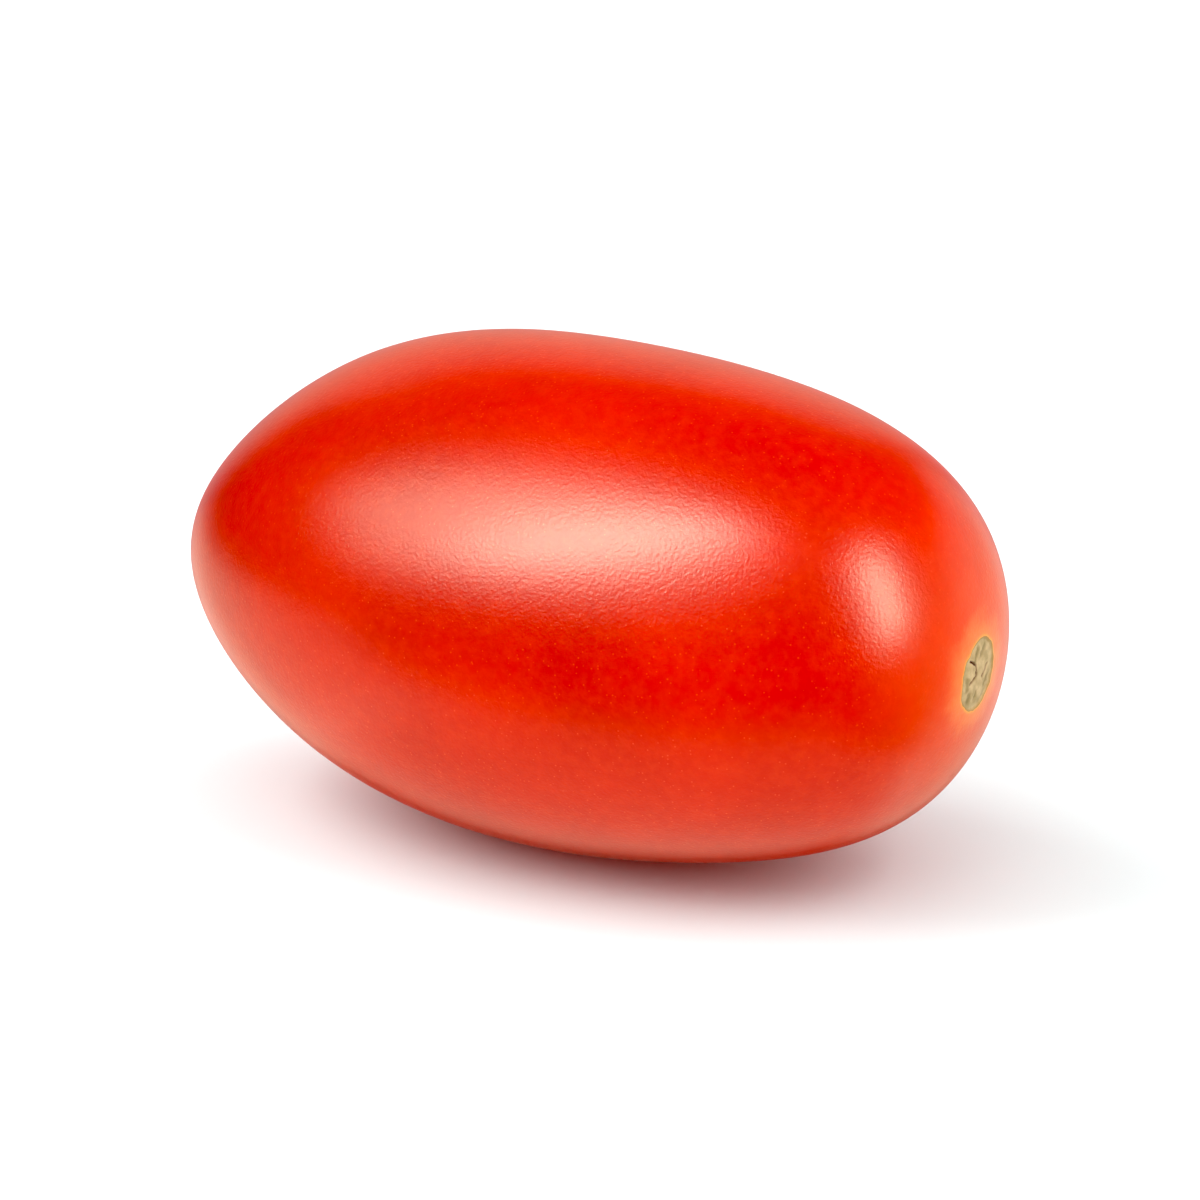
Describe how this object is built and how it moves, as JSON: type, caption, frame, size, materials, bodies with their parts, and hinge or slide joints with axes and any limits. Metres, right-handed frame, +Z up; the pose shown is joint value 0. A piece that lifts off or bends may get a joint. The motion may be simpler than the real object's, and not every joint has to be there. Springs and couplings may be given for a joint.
{
  "type": "mini plum tomato",
  "caption": "Whole ripe mini plum tomato without stalk or calyx, egg-shaped with a round corky stem scar, lying on its side on a small flat spot.",
  "frame": {"origin": "on the surface that the fruit rests on, below the middle of its length and width", "axes": "+X along the fruit towards its stem end, +Z up, +Y across the fruit"},
  "size_m": [0.0378, 0.0222, 0.0219],
  "materials": {
    "tomato_skin": "smooth waxy ripe-red skin, semi-gloss, with a dull beige corky scar at the stem end"
  },
  "bodies": {
    "root": {"tomato": "tomato_skin"}
  },
  "joints": []
}
